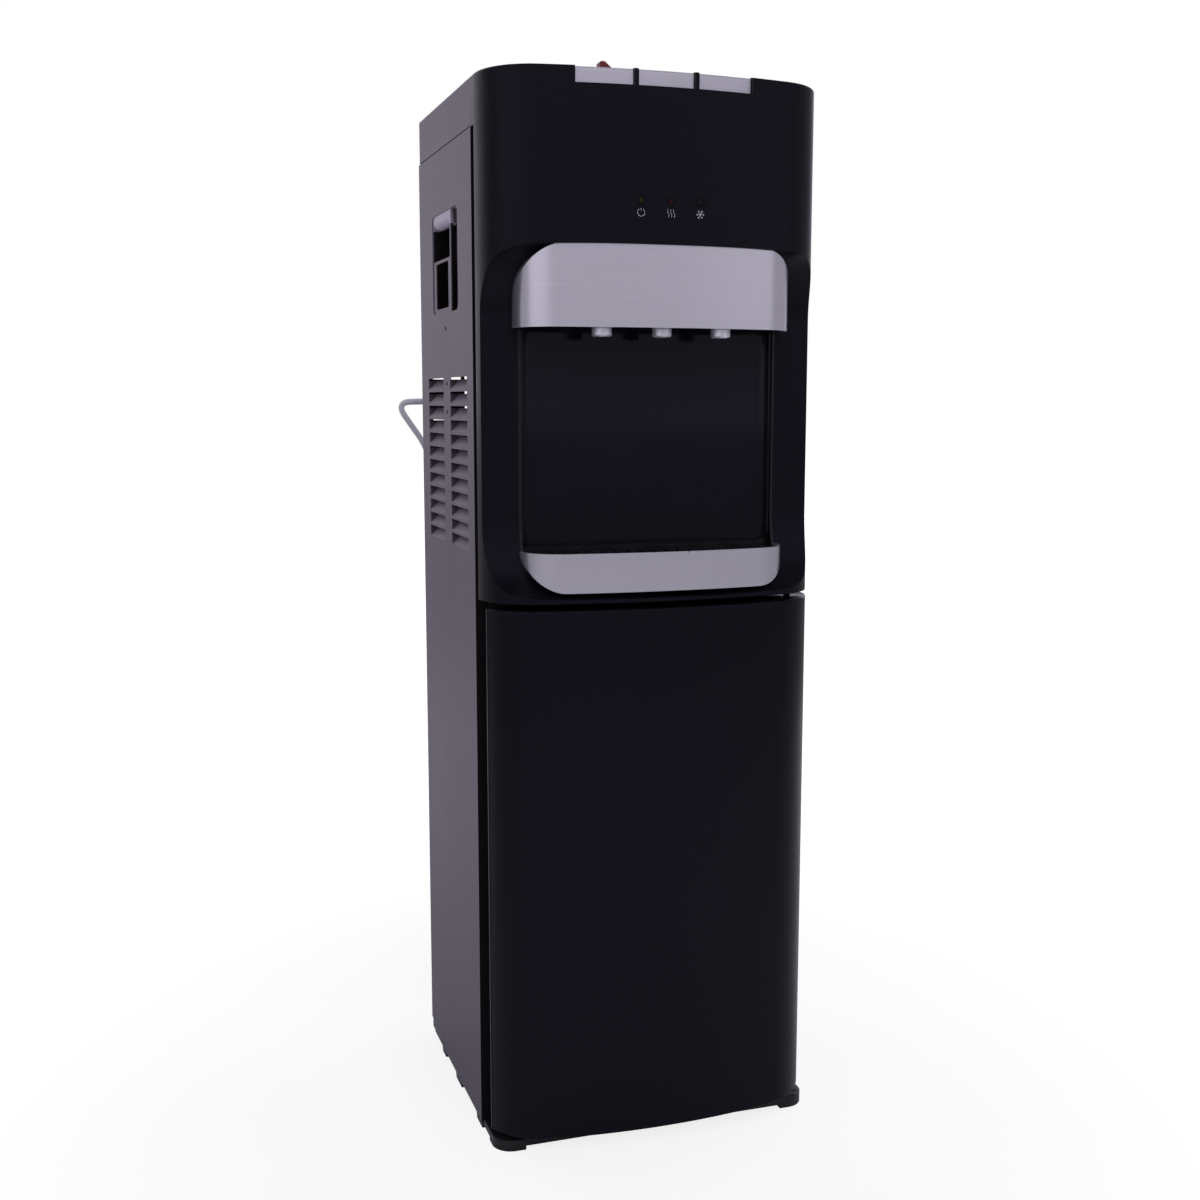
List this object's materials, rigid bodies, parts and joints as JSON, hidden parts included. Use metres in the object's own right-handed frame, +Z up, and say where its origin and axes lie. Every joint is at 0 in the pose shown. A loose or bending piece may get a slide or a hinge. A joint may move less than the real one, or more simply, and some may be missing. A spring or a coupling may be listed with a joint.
{
  "type": "water dispenser",
  "caption": "Floor-standing bottom-loading water dispenser: hinged door over a bottle space, push buttons above a recessed bay with taps, sliding drip tray, louvred sides and mains cord",
  "frame": {"origin": "on the floor under the middle of the dispenser's own outline, without the cord", "axes": "+X to the viewer's right, +Y to the back, +Z up; the front faces -Y"},
  "size_m": [0.3559, 0.471, 1.0467],
  "materials": {
    "black_gloss": "glossy black moulding",
    "black_plastic": "satin black moulding",
    "cover_grey": "satin charcoal moulding",
    "panel_grey": "satin charcoal paint on sheet steel",
    "silver": "brushed silver film on moulding",
    "silver_plain": "satin silver paint on moulding",
    "red_plastic": "red moulding",
    "lamp_green": "unlit green lens",
    "lamp_red": "unlit red lens",
    "lamp_blue": "unlit blue lens",
    "board_green": "printed circuit board",
    "valve_white": "natural white moulding",
    "bright_steel": "plated steel",
    "zinc_sheet": "zinc-coated sheet steel",
    "gasket_grey": "soft magnetic seal",
    "black_rubber": "moulded rubber",
    "black_paint": "black enamel on steel",
    "jacket_white": "insulating jacket",
    "silicone": "clear silicone hose",
    "rocker_red": "red rocker",
    "rocker_blue": "blue rocker",
    "cord_grey": "light grey sheath",
    "tie_black": "tie band"
  },
  "bodies": {
    "cabinet": {"front_cover": "black_gloss", "splash_plate": "black_gloss", "bay_liner": "black_plastic", "tap_deck": "black_plastic", "base_pan": "black_plastic", "switch_cases": "black_plastic", "control_box": "black_plastic", "top_cover": "cover_grey", "left_handle": "cover_grey", "right_handle": "cover_grey", "left_side_panel": "panel_grey", "right_side_panel": "panel_grey", "tap_cover": "silver", "hot_nozzle": "silver_plain", "room_nozzle": "silver_plain", "cold_nozzle": "silver_plain", "power_lamp": "lamp_green", "heat_lamp": "lamp_red", "cool_lamp": "lamp_blue", "lamp_board": "board_green", "tap_bodies": "valve_white", "water_pump": "valve_white", "button_shaft": "bright_steel", "upper_hinge": "bright_steel", "lower_hinge": "bright_steel", "front_uprights": "zinc_sheet", "door_header": "zinc_sheet", "mid_shelf": "zinc_sheet", "tank_shelf": "zinc_sheet", "upper_rear_panel": "zinc_sheet", "lower_rear_panel": "zinc_sheet", "compressor_grommets": "black_rubber", "cord_gland": "black_rubber", "compressor": "black_paint", "condenser_tube": "black_paint", "condenser_wires": "black_paint", "condenser_clips": "black_paint", "hot_tank": "jacket_white", "cold_tank": "jacket_white", "water_pipes": "silicone", "power_cord": "cord_grey", "cord_coil": "cord_grey", "plug": "cord_grey", "cord_tie": "tie_black"},
    "door": {"door_outer": "black_gloss", "door_inner": "black_plastic", "door_gasket": "gasket_grey"},
    "hot_button": {"hot_button": "silver_plain"},
    "room_button": {"room_button": "silver_plain"},
    "cold_button": {"cold_button": "silver_plain"},
    "hot_rod": {"hot_rod": "valve_white"},
    "room_rod": {"room_rod": "valve_white"},
    "cold_rod": {"cold_rod": "valve_white"},
    "child_lock": {"child_lock": "red_plastic"},
    "tray": {"drip_tray": "black_plastic", "tray_trim": "silver"},
    "grille": {"drip_grille": "black_plastic"},
    "heat_rocker": {"heat_rocker": "rocker_red"},
    "cool_rocker": {"cool_rocker": "rocker_blue"}
  },
  "joints": [
    {"name": "door_hinge", "type": "hinge", "parent": "cabinet", "child": "door", "pos_m": [0.152, -0.136, 0.0144], "axis": [0, 0, 1], "range_deg": [0, 110]},
    {"name": "hot_press", "type": "hinge", "parent": "cabinet", "child": "hot_button", "pos_m": [0, -0.128, 1.0247], "axis": [1, 0, 0], "range_deg": [0, 6], "stiffness_Nm_per_rad": 2, "springref_deg": -2.86},
    {"name": "hot_rod_slide", "type": "slide", "parent": "cabinet", "child": "hot_rod", "axis": [0, 0, -1], "range_m": [0, 0.0028]},
    {"name": "room_press", "type": "hinge", "parent": "cabinet", "child": "room_button", "pos_m": [0, -0.128, 1.0247], "axis": [1, 0, 0], "range_deg": [0, 6], "stiffness_Nm_per_rad": 2, "springref_deg": -2.86},
    {"name": "room_rod_slide", "type": "slide", "parent": "cabinet", "child": "room_rod", "axis": [0, 0, -1], "range_m": [0, 0.0028]},
    {"name": "cold_press", "type": "hinge", "parent": "cabinet", "child": "cold_button", "pos_m": [0, -0.128, 1.0247], "axis": [1, 0, 0], "range_deg": [0, 6], "stiffness_Nm_per_rad": 2, "springref_deg": -2.86},
    {"name": "cold_rod_slide", "type": "slide", "parent": "cabinet", "child": "cold_rod", "axis": [0, 0, -1], "range_m": [0, 0.0028]},
    {"name": "lock_slide", "type": "slide", "parent": "hot_button", "child": "child_lock", "axis": [0, 1, 0], "range_m": [0, 0.006]},
    {"name": "tray_slide", "type": "slide", "parent": "cabinet", "child": "tray", "axis": [0, -1, 0], "range_m": [0, 0.06]},
    {"name": "grille_lift", "type": "slide", "parent": "tray", "child": "grille", "axis": [0, 0, 1], "range_m": [0, 0.04]},
    {"name": "heat_switch", "type": "hinge", "parent": "cabinet", "child": "heat_rocker", "pos_m": [0.09, 0.145, 0.846], "axis": [1, 0, 0], "range_deg": [0, 16]},
    {"name": "cool_switch", "type": "hinge", "parent": "cabinet", "child": "cool_rocker", "pos_m": [0.12, 0.145, 0.846], "axis": [1, 0, 0], "range_deg": [0, 16]}
  ],
  "couplings": [
    {"joint": "hot_rod_slide", "follows": "hot_press", "m_per_rad": 0.0254},
    {"joint": "room_rod_slide", "follows": "room_press", "m_per_rad": 0.0254},
    {"joint": "cold_rod_slide", "follows": "cold_press", "m_per_rad": 0.0254}
  ]
}
